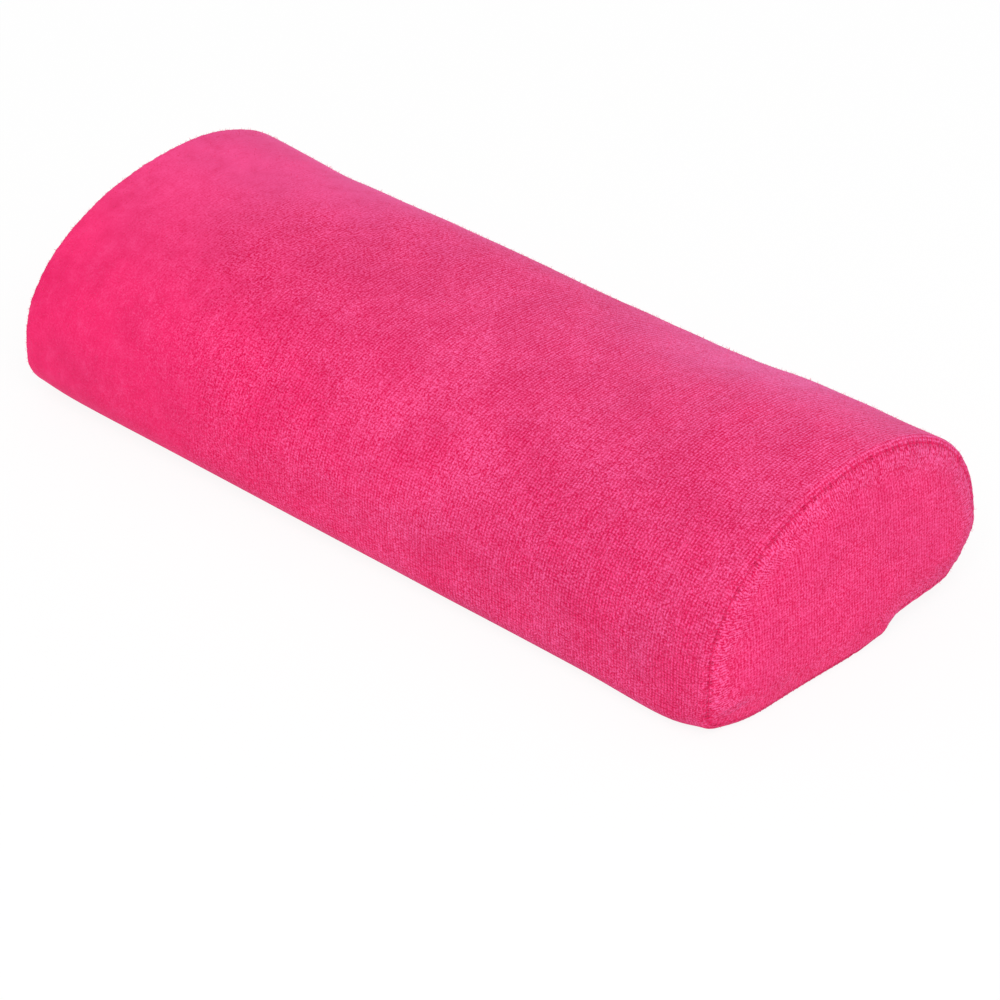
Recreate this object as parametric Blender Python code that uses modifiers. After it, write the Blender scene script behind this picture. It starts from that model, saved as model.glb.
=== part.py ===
"""Manicure hand rest: a half-column foam cushion in a sewn cover of looped cloth.

The cushion lies along X on its flat base at Z = 0, and its front looks along -Y. The cover is one sheet
wrapped round the foam, whose two free edges lap over each other under the base, and a D-shaped panel sewn
into each end.
"""

from collections import namedtuple
from math import atan2, copysign, cos, hypot, pi, radians, sin

import bmesh
import bpy

# Driving dimensions, in metres

LENGTH = 0.304            # over the swollen end panels
WIDTH = 0.124             # front to back
HEIGHT = 0.066            # base to crown
CORNER_RADIUS = 0.0155    # outside of the two rounded lower edges
SIDE_UPRIGHT = 0.001      # straight stretch between the rear lower edge and the crown
CROWN_LEAN = 0.005        # how far the top of the crown leans back
CROWN_FULLNESS = 2.1      # exponent of the crown's curve: 2 is an ellipse, and more is squarer

CLOTH = 0.0024            # looped cloth with its pile
CLEARANCE = 0.0003        # between neighbouring layers
SEAM_VALLEY = 0.0011      # width of the valley between the two sewn edges
FOAM_EASE = 0.0014        # how much shorter the foam is at each end than the room inside the cover

FLAP_REACH = 0.017        # from the middle of the base back to the edge of the hemmed flap
HEM_WIDTH = 0.012         # turned-in part of the hemmed flap
INNER_FLAP_REACH = 0.042  # from the middle of the base forward to the edge of the covered flap

ROUND_LENGTH = 0.0062     # how much length the rounding round each end takes
ROUND_DEPTH = 0.014       # how far in from the sides that rounding runs
SEAM_DEPTH = 0.0021       # how far in from the sides the seam lies
END_SWELL = 0.002         # how far the middle of an end panel stands past its rounded edge

# How finely the curved stretches are divided

CORNER_STEPS = 6
CROWN_STEPS = 26
FOLD_STEPS = 6
WRAP_END_STEPS = 4
ROUND_STEPS = 6
SWELL_STEPS = 3
SLOPE_STEP = 0.001        # angle over which the crown's slope is taken

# Colours, linear

PINK = (0.87, 0.048, 0.186, 1.0)
FOAM_CREAM = (0.80, 0.74, 0.56, 1.0)

# Lengths that follow from the driving dimensions

HALF_WIDTH = WIDTH / 2
LAYER = CLOTH + CLEARANCE
LAP_STEP = 2 * LAYER                                # the hem lifts the cloth behind it by two layers
SPRING = LAP_STEP + CORNER_RADIUS + SIDE_UPRIGHT    # height at which the crown starts
CROWN_RISE = HEIGHT - SPRING
FOLD_RADIUS = CLOTH + CLEARANCE / 2                 # outside of the hem's fold
SAFE_INSET = CORNER_RADIUS / 2                      # deepest ring that still follows the lower edges
FACE_X = LENGTH / 2 - END_SWELL                     # where the rounding of the right end finishes

# A point of a section: its place, the direction into the cushion, and how far it is sewn into the ends,
# from 0 for a layer that stops short inside the lap to 1
Point = namedtuple("Point", "y z inward_y inward_z sewn")


def clear_scene():
    """Remove every object, so that the file holds nothing but the cushion."""
    for obj in list(bpy.data.objects):
        bpy.data.objects.remove(obj, do_unlink=True)


def lower_edge(centre_y, centre_z, start, end):
    """Points round a rounded lower edge, from one angle to another."""
    points = []
    for step in range(CORNER_STEPS + 1):
        angle = start + (end - start) * step / CORNER_STEPS
        y = centre_y + CORNER_RADIUS * cos(angle)
        z = centre_z + CORNER_RADIUS * sin(angle)
        points.append(Point(y, z, -cos(angle), -sin(angle), 1.0))
    return points


def crown_place(angle):
    """A place on the crown's curve, which is a full half ellipse that leans back towards its top."""
    across = abs(cos(angle)) ** (2 / CROWN_FULLNESS)
    up = abs(sin(angle)) ** (2 / CROWN_FULLNESS)
    y = copysign(HALF_WIDTH * across, cos(angle)) + CROWN_LEAN * up * up
    return y, SPRING + CROWN_RISE * up


def crown():
    """Points from the top of the front side over the crown to the top of the rear side."""
    points = [Point(-HALF_WIDTH, SPRING, 1.0, 0.0, 1.0)]
    for step in range(1, CROWN_STEPS):
        angle = pi - pi * step / CROWN_STEPS
        y, z = crown_place(angle)
        before_y, before_z = crown_place(angle + SLOPE_STEP)
        after_y, after_z = crown_place(angle - SLOPE_STEP)
        along_y, along_z = after_y - before_y, after_z - before_z
        size = hypot(along_y, along_z)
        points.append(Point(y, z, along_z / size, -along_y / size, 1.0))
    points.append(Point(HALF_WIDTH, SPRING, -1.0, 0.0, 1.0))
    return points


def front_and_crown(front_drop):
    """The outside of the cushion from the front lower edge to the rear one, both included.

    The front lower edge sits lower than the rear one by front_drop.
    """
    edge_y = HALF_WIDTH - CORNER_RADIUS
    rear_z = LAP_STEP + CORNER_RADIUS
    front = lower_edge(-edge_y, rear_z - front_drop, -pi / 2, -pi)
    rear = lower_edge(edge_y, rear_z, 0.0, -pi / 2)
    return front + crown() + rear


def on_base(y, z, sewn=1.0):
    """A point of the base, whose inward direction is straight up."""
    return Point(y, z, 0.0, 1.0, sewn)


def foam_section():
    """The closed outline that the foam is set in from: the cushion without the lap under its base."""
    return front_and_crown(0.0)


def end_section():
    """The closed outline of the cover's end, with the step where the hemmed flap stops."""
    fold_y = FLAP_REACH - FOLD_RADIUS
    points = front_and_crown(LAP_STEP)
    points.append(on_base(FLAP_REACH, LAP_STEP))
    for step in range(FOLD_STEPS // 2 + 1):
        angle = -pi / 2 * step / (FOLD_STEPS // 2)
        points.append(on_base(fold_y + FOLD_RADIUS * cos(angle), FOLD_RADIUS + FOLD_RADIUS * sin(angle)))
    return points


def wrap_section():
    """The open line of the wrap's face, from the inside of the hem round the cushion to the covered flap."""
    fold_y = FLAP_REACH - FOLD_RADIUS
    points = [on_base(fold_y - HEM_WIDTH, 2 * FOLD_RADIUS, 0.0)]
    for step in range(FOLD_STEPS + 1):
        angle = pi / 2 - pi * step / FOLD_STEPS
        y = fold_y + FOLD_RADIUS * cos(angle)
        z = FOLD_RADIUS + FOLD_RADIUS * sin(angle)
        points.append(on_base(y, z, step / FOLD_STEPS))
    points += front_and_crown(LAP_STEP)
    points.append(on_base(FLAP_REACH + CLOTH, LAP_STEP))
    points.append(on_base(FLAP_REACH - CLOTH, LAP_STEP, 0.0))
    points.append(on_base(-INNER_FLAP_REACH, LAP_STEP, 0.0))
    return points


def end_round(angle):
    """Place along X and depth inward of the end's rounding, whose angle is 0 at the side."""
    depth = ROUND_DEPTH * (1 - cos(angle))
    x = FACE_X - ROUND_LENGTH * (1 - sin(angle)) + swell(depth)
    return x, depth


def swell(depth):
    """How far the end stands out at a depth inward from the sides."""
    return END_SWELL * sin(pi / 2 * depth / HALF_WIDTH) ** 2


def seam_angle():
    """The angle of the end's rounding at which the seam lies."""
    share = 1 - SEAM_DEPTH / ROUND_DEPTH
    return atan2(max(1 - share * share, 0.0) ** 0.5, share)


def ring(section, x, depth, tuck=0.0):
    """A section set inward by a depth, at a distance along X.

    Past the depth that the lower edges can follow, the ring shrinks towards the middle instead, and turns
    into an oval. What isn't sewn into the ends stays level and stops short by the length tuck.
    """
    shrink = 1 - max(depth - SAFE_INSET, 0.0) / (HALF_WIDTH - SAFE_INSET)
    half_height = HEIGHT / 2
    places = []
    for point in section:
        inset = min(depth, SAFE_INSET) * point.sewn
        y = point.y + point.inward_y * inset
        z = point.z + point.inward_z * inset - half_height
        oval = 1 / hypot(y / HALF_WIDTH, z / half_height)
        size = shrink * (shrink + (1 - shrink) * oval)
        places.append((x - tuck * (1 - point.sewn), y * size, half_height + z * size))
    return places


def loft(name, rings, closed, tip=None, cap=False):
    """A mesh object through a row of rings, which may end in a flat cap or in a single point."""
    bm = bmesh.new()
    rows = [[bm.verts.new(place) for place in places] for places in rings]
    count = len(rows[0])
    spans = count if closed else count - 1
    for near, far in zip(rows, rows[1:]):
        for index in range(spans):
            follow = (index + 1) % count
            bm.faces.new((near[index], far[index], far[follow], near[follow]))
    if cap:
        bm.faces.new(rows[-1][::-1])
    if tip:
        point = bm.verts.new(tip)
        for index in range(spans):
            bm.faces.new((rows[-1][(index + 1) % count], rows[-1][index], point))
    mesh = bpy.data.meshes.new(name)
    bm.to_mesh(mesh)
    bm.free()
    return bpy.data.objects.new(name, mesh)


def flip_faces(obj):
    """Turn every face of a mesh round."""
    bm = bmesh.new()
    bm.from_mesh(obj.data)
    bmesh.ops.reverse_faces(bm, faces=bm.faces)
    bm.to_mesh(obj.data)
    bm.free()


def mirror_lengthwise(obj):
    """Complete a half that is open at X = 0."""
    mirror = obj.modifiers.new("Mirror", "MIRROR")
    mirror.use_axis = (True, False, False)
    mirror.merge_threshold = 0.0001


def thicken(obj):
    """Give a sheet the cloth's thickness, inward from its face."""
    solidify = obj.modifiers.new("Cloth", "SOLIDIFY")
    solidify.thickness = CLOTH
    solidify.offset = -1.0
    solidify.use_even_offset = True


def make_foam_core():
    """The foam block: the cushion's form less the cover, its end edges rounded as the cover pulls them."""
    section = foam_section()
    rings = [ring(section, 0.0, LAYER)]
    for step in range(ROUND_STEPS + 1):
        x, depth = end_round(pi / 2 * step / ROUND_STEPS)
        rings.append(ring(section, x - LAYER - FOAM_EASE, depth + LAYER))
    foam = loft("foam_core", rings, closed=True, cap=True)
    mirror_lengthwise(foam)
    return foam


def make_wrap_panel():
    """The sheet round the foam, from the turned-in hem of its outer flap to the plain edge inside."""
    section = wrap_section()
    start_x, _ = end_round(0.0)
    seam_x, _ = end_round(seam_angle())
    rings = [ring(section, 0.0, 0.0)]
    for step in range(WRAP_END_STEPS + 1):
        x, depth = end_round(seam_angle() * step / WRAP_END_STEPS)
        rings.append(ring(section, x, depth, tuck=seam_x - start_x))
    wrap = loft("wrap_panel", rings, closed=False)
    mirror_lengthwise(wrap)
    thicken(wrap)
    return wrap


def make_end_panel(name, side):
    """A D-shaped end panel, sewn in just inside the rounding and swollen in its middle. side is 1 or -1."""
    section = end_section()
    seam = seam_angle()
    start = seam + SEAM_VALLEY / hypot(ROUND_LENGTH * cos(seam), ROUND_DEPTH * sin(seam))
    rings = []
    for step in range(ROUND_STEPS + 1):
        angle = start + (pi / 2 - start) * step / ROUND_STEPS
        x, depth = end_round(angle)
        rings.append(ring(section, x * side, depth))
    for step in range(1, SWELL_STEPS):
        depth = ROUND_DEPTH + (HALF_WIDTH - ROUND_DEPTH) * step / SWELL_STEPS
        rings.append(ring(section, (FACE_X + swell(depth)) * side, depth))
    panel = loft(name, rings, closed=True, tip=(side * LENGTH / 2, 0.0, HEIGHT / 2))
    if side < 0:
        flip_faces(panel)
    thicken(panel)
    return panel


def make_material(name, colour, roughness):
    """A matt Principled material."""
    material = bpy.data.materials.new(name)
    material.use_nodes = True
    shader = material.node_tree.nodes["Principled BSDF"]
    shader.inputs["Base Color"].default_value = colour
    shader.inputs["Roughness"].default_value = roughness
    shader.inputs["Metallic"].default_value = 0.0
    material.diffuse_color = colour
    return material


def place(obj, material, collection, parent):
    """Put a finished piece in the collection, smooth but for its sharp edges."""
    collection.objects.link(obj)
    obj.parent = parent
    obj.data.materials.append(material)
    obj.data.shade_smooth()
    obj.data.set_sharp_from_angle(angle=radians(40))


def main():
    clear_scene()
    collection = bpy.data.collections.new("manicure_hand_rest")
    bpy.context.scene.collection.children.link(collection)
    root = bpy.data.objects.new("manicure_hand_rest_root", None)
    collection.objects.link(root)

    cloth = make_material("cover_cloth", PINK, 0.95)
    foam = make_material("foam", FOAM_CREAM, 0.9)
    place(make_foam_core(), foam, collection, root)
    place(make_wrap_panel(), cloth, collection, root)
    place(make_end_panel("end_panel_right", 1), cloth, collection, root)
    place(make_end_panel("end_panel_left", -1), cloth, collection, root)


main()
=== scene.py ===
"""Looks of the manicure hand rest: a foam block in a sewn cover of looped towelling cloth.

The cushion lies along X on its base, and its near end in the photograph is the one at +X. The cover is one
wrap, two end panels and the threads that join them. Each sheet is built from the same section as its CAD
node and then given the softness that the photograph shows. Lengths are in metres.
"""

from math import atan2, cos, pi, radians, sin

import bmesh
import bpy
import numpy as np
from mathutils import Matrix, Vector, noise


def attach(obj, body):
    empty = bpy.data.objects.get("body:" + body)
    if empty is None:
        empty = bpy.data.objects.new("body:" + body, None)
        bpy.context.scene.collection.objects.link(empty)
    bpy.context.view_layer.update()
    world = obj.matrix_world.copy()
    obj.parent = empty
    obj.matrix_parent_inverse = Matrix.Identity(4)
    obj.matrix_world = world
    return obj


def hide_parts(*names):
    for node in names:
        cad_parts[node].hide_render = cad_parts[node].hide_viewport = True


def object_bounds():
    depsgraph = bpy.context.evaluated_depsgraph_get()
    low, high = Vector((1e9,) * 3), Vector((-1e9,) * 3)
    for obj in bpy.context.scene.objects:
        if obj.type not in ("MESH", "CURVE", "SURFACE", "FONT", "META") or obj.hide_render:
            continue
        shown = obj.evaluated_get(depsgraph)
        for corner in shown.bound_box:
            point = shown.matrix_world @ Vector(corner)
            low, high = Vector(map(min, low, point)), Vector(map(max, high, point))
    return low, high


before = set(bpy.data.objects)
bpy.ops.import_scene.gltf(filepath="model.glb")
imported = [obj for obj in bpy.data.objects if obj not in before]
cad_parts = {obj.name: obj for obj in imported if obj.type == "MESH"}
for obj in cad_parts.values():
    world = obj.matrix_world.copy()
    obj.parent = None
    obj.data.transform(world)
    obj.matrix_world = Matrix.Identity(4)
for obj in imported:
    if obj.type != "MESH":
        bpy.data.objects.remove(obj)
CAD_LOW, CAD_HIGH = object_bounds()

# The section, as in the CAD

HALF_WIDTH = (CAD_HIGH[1] - CAD_LOW[1]) / 2
HEIGHT = CAD_HIGH[2] - CAD_LOW[2]
CORNER_RADIUS = 0.0155
SIDE_UPRIGHT = 0.001
CROWN_LEAN = 0.005
CROWN_FULLNESS = 2.1
LAP_STEP = 0.0054
FOLD_RADIUS = 0.00255
FLAP_REACH = 0.017
HEM_WIDTH = 0.012
HEM_TURNED_UNDER = 0.001    # how far the hem's hidden layer runs past its row of stitches
GROOVE_HALF_WIDTH = 0.0015
INNER_FLAP_REACH = 0.042
LAP_MARGIN = 0.006          # how far behind the flap's fold the rear base counts as covered
SPRING = LAP_STEP + CORNER_RADIUS + SIDE_UPRIGHT

# The ends

END_SWELL = 0.002
FACE_X = (CAD_HIGH[0] - CAD_LOW[0]) / 2 - END_SWELL
ROUND_LENGTH = 0.0042
ROUND_DEPTH = 0.014
SEAM_DEPTH = 0.0021

# How the soft cushion departs from its plain form. A pair ending in ALONG, ACROSS, UP or the like is where a
# change begins and where it is full

FAR_SINK = 0.00225          # how much lower the crown is at the far end
NEAR_RISE = 0.00195         # how much higher it is at the near end
NEAR_EDGE_TIGHTER = 0.0082  # how much smaller the front lower edge's radius is at the near end
LIFTED_ABOVE = 0.020        # the height above which the crown is lower or higher
SAG = 0.0054                # how far hands have pressed the back of the crown down in the middle
SAG_FAR = (-0.150, -0.105)  # the sag's pair from the far end
SAG_NEAR = (0.105, 0.045)   # its pair from the near end
SAG_UP = (0.025, 0.055)
SAG_ACROSS = (0.014, 0.042) # its middle and its reach across the cushion
BASE_KICK = (0.0025, 0.0013, 0.0027)  # how far the base stands out: far end, near end's front and rear
KICK_ALONG = (0.118, 0.146)
KICK_ACROSS = (-0.030, 0.015)
BASE_DOWN = (0.030, 0.0)
FRONT_FLARE = 0.0014        # how far the front's base spreads at the near end
FLARE_ALONG = (0.090, 0.135)
FLARE_ACROSS = (-0.040, -0.060)
CORNER_PULL = (0.0044, 0.0028, 0.0018)  # how far the near corners of the base are drawn in along X, Y and Z
FAR_CORNER_SHARE = 0.45     # how much of that the far corners have
CORNER_REACH = 0.013        # how far from a corner that is felt
LAP_EASE = (0.0013, 0.0010) # how far the lap's lower and upper edges are drawn together at the ends
LAP_ALONG = (0.122, 0.145)
LAP_DOWN = (0.012, 0.0065)
LOWER_FRONT = (0.002, 0.0155)
LOWER_REAR = (0.0195, 0.017)
UPPER_UP = (0.0045, 0.0053)
UPPER_FRONT = (0.014, 0.018)
UPPER_REAR = (0.030, 0.018)
UNEVEN = 0.00035            # gentle unevenness of cloth over foam
UNEVEN_TURNS = (28, 64)     # how often it rises and falls in a metre, coarsely and finely
EVEN_BELOW = 0.012          # the height below which it fades, towards the flat base

# Cloth, seams and thread

CLOTH_BODY = 0.0012         # the cloth without its pile
LIP_RADIUS = 0.0004         # how tightly a sewn edge turns down into its seam
LIP_TAIL = 0.0010
HIDDEN_SPREAD = 0.05        # how far the lap's hidden edges run on past the end's rounding, as a share
SEAM_GAP = 0.00004
STITCH_SPAN = (-0.17, 0.20) # the stitched way round an end, from the crown's top
STITCH_COUNT = 154
STITCH_DIMPLE = 0.00048
DIMPLE_WIDTH = 0.0008       # along the seam
DIMPLE_REACH = 0.0016       # away from it
PUCKER = 0.00030
PUCKER_TURNS = (330, 700)
PUCKER_SEED = 3.7
WRAP_GATHER = 0.0035        # how far the gathers run from the seam into the wrap
END_GATHER = 0.006          # the same into an end panel
THREAD_RADIUS = 0.00018
CORD_RADIUS = 0.00024       # the looper thread that lies along the seam
CORD_STEP = 0.0008
STITCH_SLANT = 0.0004       # how far along the seam a stitch runs to each side of its middle
STITCH_REACH = 0.0009       # how far from the seam a stitch enters each sheet
STITCH_DEPTH = 0.0006
HEM_GROOVE = 0.0005
HEM_GROOVE_REACH = 0.0007
HEM_STITCH = 0.0032

# Loose fibres that stand out of the pile, and stand closer at the far end

FIBRE_LENGTH = (0.0004, 0.0011)
FIBRE_RADIUS = 0.00005
FIBRE_ROOT = 0.0002
WRAP_FIBRES = 13000
END_FIBRES = 1900
FUZZY_END = (-0.138, -0.150)
FUZZIER = 3

# How finely the sheets are divided: steps along each stretch of the section, and threefold at the ends

WRAP_STEPS = {"hem": 4, "fold": 6, "hem_face": 4, "groove": 6, "flap": 12, "front_edge": 10, "crown": 100,
              "rear_edge": 9, "rear_base": 6, "inner_flap": 8}
PANEL_STEPS = {"hem_face": 20, "flap": 80, "front_edge": 30, "crown": 300, "rear_edge": 27, "rear_base": 40,
               "step": 12}
PANEL_INSETS = (0.0010, 0.0014, 0.0019, 0.0025, 0.0032)
PANEL_RINGS = 24
FOAM_STEPS = {"hem_face": 4, "flap": 16, "front_edge": 8, "crown": 70, "rear_edge": 8, "rear_base": 8}
FOAM_ROOM = 0.0012          # between the foam and the cloth
FOAM_ROUNDING = 0.005
FOAM_STATIONS = 50
FOAM_TURN_ROWS = 8
FINER = 3
MIDDLE_STATIONS = 96
END_BAND = 0.014
BAND_ROWS = 12
TURN_ROWS = 5
LIP_ROWS = 5
LIP_HIDDEN = LIP_ROWS + 1   # the rows of a sewn edge that lie inside the seam
SEWN_COLUMNS = (30, -80)    # the end band's columns between which stitches show

# Colours, linear

PINK = (0.945, 0.022, 0.160, 1.0)
PINK_FELT = (0.845, 0.0247, 0.148, 1.0)
# PINK_DEEP: painted shade in the hollows between loops, and also a darker random tone in the nap and the
# thread
PINK_DEEP = (0.65, 0.001, 0.064, 1.0)
# PINK_TIP: painted highlight on the loops' tops, and also a lighter random tone in the nap and the loose
# fibres
PINK_TIP = (1.0, 0.140, 0.390, 1.0)
# Painted rim sheen: paler loop tops where light grazes the crown's rear at the near end
PINK_PAINTED_RIM_SHEEN = (1.0, 0.300, 0.640, 1.0)
# Painted sheen: a paler pink laid where light grazes the cloth
PINK_PAINTED_SHEEN = (0.86, 0.150, 0.425, 1.0)
THREAD_PINK = (0.86, 0.035, 0.180, 1.0)
STITCH_DARK = (0.40, 0.003, 0.040, 1.0)
FOAM_CREAM = (0.80, 0.74, 0.56, 1.0)
FOAM_PORE = (0.62, 0.55, 0.38, 1.0)
SHEEN_PINK = (1.0, 0.48, 0.92, 1.0)
FLOOR_WHITE = (0.95, 0.95, 0.95, 1.0)

# The yarn's loops, across and along their rows, and the sizes of what varies in the cloth

LOOP_PITCH = (0.00092, 0.00120)
FAN_PITCH = (0.0015, 0.00100)
WANDER_SIZE = 0.007
WANDER = 0.0010
PATCH_SIZE = 0.024
LOOSE_SIZE = 0.0009
FIBRE_SIZE = 0.0006
FLUFF_SIZE = 0.0015
FELT_SIZE = 0.0055
STREAK_SIZE = 0.0035
MOTTLE_SIZE = 0.022

# Where the cloth changes: from where, to where, and the values at both, which are 0 and 1 if none are given.
# ALONG is along the cushion from its middle. The wrap's other zones are round it, from the crown's top to
# the rear. The fan's band is measured from the seam, and FAN_UP is its fading towards the base

CRISP_ALONG = (-0.105, 0.045, 0.04, 1.0)
CRISP_FRONT = (-0.065, -0.025, 0.0, 0.035)
CRISP_REAR = (-0.005, 0.030, 1.0, 0.0)
LOOSE_ALONG = (-0.080, 0.010, 0.50, 0.06)
GRAIN_ALONG = (-0.150, -0.030, 0.08, 0.60)
FELTED_ALONG = (-0.105, 0.010, 1.0, 0.0)
# Painted sheen: paler pink over the crown's top and rear where light grazes it, stronger towards the near
# end
PAINTED_SHEEN_ALONG = (-0.140, 0.120, 0.42, 1.0)
PAINTED_SHEEN_FRONT = (-0.070, 0.030)
PAINTED_SHEEN_REAR = (0.055, 0.115, 1.0, 0.0)
# Painted rim sheen: paler hollows and loop tops at the crown's rear, towards the near end but fading close
# to its seam
RIM_SHEEN_ALONG = (0.0, 0.080)
RIM_SHEEN_NEAR = (0.100, 0.130, 1.0, 0.25)
RIM_SHEEN_TOP = (0.0, 0.030, 0.0, 0.42)
# Deeper painted shade between the loops at the front of the near end
DEEPER_ALONG = (0.000, 0.080, 0.0, 0.42)
DEEPER_FRONT = (0.010, -0.050)
FAN_BAND = (0.0085, 0.0160, 1.0, 0.0)
FAN_UP = (0.004, 0.011)


# The section's line. Each point has y, z, the inward direction's y and z, and how far it is sewn into the
# ends, from 0 inside the lap to 1

def line(start, end, inward, sewn=(1.0, 1.0), points=40):
    share = np.linspace(0, 1, points)[:, None]
    place = (1 - share) * np.array(start) + share * np.array(end)
    held = (1 - share) * sewn[0] + share * sewn[1]
    return np.hstack([place, np.tile(inward, (points, 1)), held])


def arc(centre, radius, start, end, inward=None, sewn=(1.0, 1.0), points=40):
    angle = np.linspace(start, end, points)
    out = np.column_stack([np.cos(angle), np.sin(angle)])
    facing = -out if inward is None else np.tile(inward, (points, 1))
    held = np.linspace(sewn[0], sewn[1], points)[:, None]
    return np.hstack([np.array(centre) + radius * out, facing, held])


def crown_line(points=500):
    """The crown's curve from front to rear: a full half ellipse that leans back towards its top."""
    angle = np.linspace(pi, 0, points)
    across = np.abs(np.cos(angle)) ** (2 / CROWN_FULLNESS) * np.sign(np.cos(angle))
    up = np.abs(np.sin(angle)) ** (2 / CROWN_FULLNESS)
    place = np.column_stack([HALF_WIDTH * across + CROWN_LEAN * up ** 2, SPRING + (HEIGHT - SPRING) * up])
    along = np.gradient(place, axis=0)
    along /= np.linalg.norm(along, axis=1)[:, None]
    return np.column_stack([place, along[:, 1], -along[:, 0], np.ones(points)])


def stretches(front_radius):
    """The stretches of the section, in order, for one radius of the front lower edge."""
    front_y = front_radius - HALF_WIDTH
    rear_y = HALF_WIDTH - CORNER_RADIUS
    fold_y = FLAP_REACH - FOLD_RADIUS
    groove_y = fold_y - HEM_WIDTH
    groove_front, groove_rear = groove_y - GROOVE_HALF_WIDTH, groove_y + GROOVE_HALF_WIDTH
    covered_y = FLAP_REACH + LAP_MARGIN
    hem_z = 2 * FOLD_RADIUS
    up = (0.0, 1.0)
    front = arc((front_y, front_radius), front_radius, -pi / 2, -pi)
    crown = np.vstack([front[-1:], crown_line()])
    return {
        "hem": line((groove_y - HEM_TURNED_UNDER, hem_z), (fold_y, hem_z), up, (0.0, 0.0)),
        "fold": arc((fold_y, FOLD_RADIUS), FOLD_RADIUS, pi / 2, -pi / 2, up, (0.0, 1.0)),
        "hem_face": line((fold_y, 0.0), (groove_rear, 0.0), up),
        "groove": line((groove_rear, 0.0), (groove_front, 0.0), up),
        "flap": line((groove_front, 0.0), (front_y, 0.0), up),
        "front_edge": front,
        "crown": crown,
        "rear_edge": arc((rear_y, SPRING - SIDE_UPRIGHT), CORNER_RADIUS, 0, -pi / 2),
        "rear_base": line((rear_y, LAP_STEP), (covered_y, LAP_STEP), up),
        "inner_flap": line((covered_y, LAP_STEP), (-INNER_FLAP_REACH, LAP_STEP), up, (1.0, 0.0)),
        "step": arc((fold_y, FOLD_RADIUS), FOLD_RADIUS, 0, -pi / 2, up),
    }


def spread(stretch, steps):
    """A stretch divided evenly along its length."""
    length = np.concatenate([[0], np.cumsum(np.hypot(*np.diff(stretch[:, :2], axis=0).T))])
    even = np.linspace(0, length[-1], steps + 1)
    return np.column_stack([np.interp(even, length, column) for column in stretch.T])


def section(front_radius, steps, finer=1):
    """The section's points for these stretches, and how far along the cloth each is from the crown's top."""
    parts = stretches(front_radius)
    rows = [spread(parts[name], count * finer)[1:] for name, count in steps.items()]
    first = parts[next(iter(steps))][:1]
    points = np.vstack([first] + rows)
    way = np.concatenate([[0], np.cumsum(np.hypot(*np.diff(points[:, :2], axis=0).T))])
    return points, way - way[points[:, 1].argmax()]


def front_radius(x):
    """The front lower edge's radius at a place along X."""
    share = np.clip(x / FACE_X, -1, 1)
    return CORNER_RADIUS - NEAR_EDGE_TIGHTER * (0.5 + 0.5 * share)


# The ends' rounding

def swell(depth):
    return END_SWELL * np.sin(pi / 2 * depth / HALF_WIDTH) ** 2


def end_round(angle):
    """Place along X and depth inward of the end's rounding, whose angle is 0 at the side."""
    depth = ROUND_DEPTH * (1 - cos(angle))
    return FACE_X - ROUND_LENGTH * (1 - sin(angle)) + swell(depth), depth


SEAM_SHARE = 1 - SEAM_DEPTH / ROUND_DEPTH
SEAM_ANGLE = atan2((1 - SEAM_SHARE ** 2) ** 0.5, SEAM_SHARE)


def seam_frame():
    """The seam's place in (x, depth), and the directions over it, from wrap to panel, and into it."""
    place = np.array(end_round(SEAM_ANGLE))
    before, after = (np.array(end_round(SEAM_ANGLE + turn)) for turn in (-0.01, 0.01))
    over = (after - before) / np.linalg.norm(after - before)
    return place, over, np.array([-over[1], over[0]])


def seam_lip(side, turn):
    """A point of a sewn edge in (x, depth) as it turns down into the seam. side is -1 on the wrap."""
    place, over, into = seam_frame()
    centre = place + side * over * (LIP_RADIUS + SEAM_GAP / 2) + into * LIP_RADIUS
    return centre - side * over * LIP_RADIUS * sin(turn) - into * LIP_RADIUS * cos(turn)


def lip_profile(side):
    """The turned-down edge from the cloth's face to its hidden tail, as rows of x and depth."""
    _, _, into = seam_frame()
    rows = [seam_lip(side, pi / 2 * step / LIP_ROWS) for step in range(LIP_ROWS + 1)]
    rows.append(rows[-1] + into * LIP_TAIL)
    return np.array(rows)


def wrap_profile():
    """Rows of x and depth from the end band's start over the rounding into the seam."""
    start_x, _ = end_round(0.0)
    lip = lip_profile(-1)
    face = [(start_x - END_BAND + END_BAND * step / BAND_ROWS, 0.0) for step in range(BAND_ROWS)]
    lip_angle = SEAM_ANGLE * 0.62
    turn = [end_round(lip_angle * step / TURN_ROWS) for step in range(TURN_ROWS + 1)]
    return np.vstack([face, turn, lip])


def from_outline(outline, places):
    """A smooth distance of places from an outline round them, exact close to it and without creases."""
    closed = np.vstack([outline, outline[:1]])
    share = (np.arange(3) + 0.5)[None, :, None] / 3
    samples = (closed[:-1, None] * (1 - share) + closed[1:, None] * share).reshape(-1, 2)
    lengths = np.repeat(np.hypot(*np.diff(closed, axis=0).T) / 3, 3)
    total = np.zeros(len(places))
    for sample, length in zip(samples, lengths):
        total += length / np.maximum(np.hypot(*(places - sample).T), 1e-5) ** 3
    return (total / 2) ** -0.5


def face_x(inner):
    """Place along X of the end's face at a distance inside its seam."""
    turn = np.arccos(np.clip(1 - (SEAM_DEPTH + inner) / ROUND_DEPTH, 0, 1))
    dome = np.sin(pi / 2 * np.clip(inner / inner.max(), 0, 1)) ** 2
    return FACE_X - ROUND_LENGTH * (1 - np.sin(turn)) + END_SWELL * dome


def out_of_seam(points, side):
    """The direction out of an end's seam at each point of the section."""
    _, _, into = seam_frame()
    return -np.column_stack([np.full(len(points), side * into[0]), points[:, 2:4] * into[1]])


def reach_from_seam(profile):
    """How far each row of a profile lies from the seam, along the cloth."""
    place, _, _ = seam_frame()
    return np.hypot(*(profile - place).T)


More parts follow.
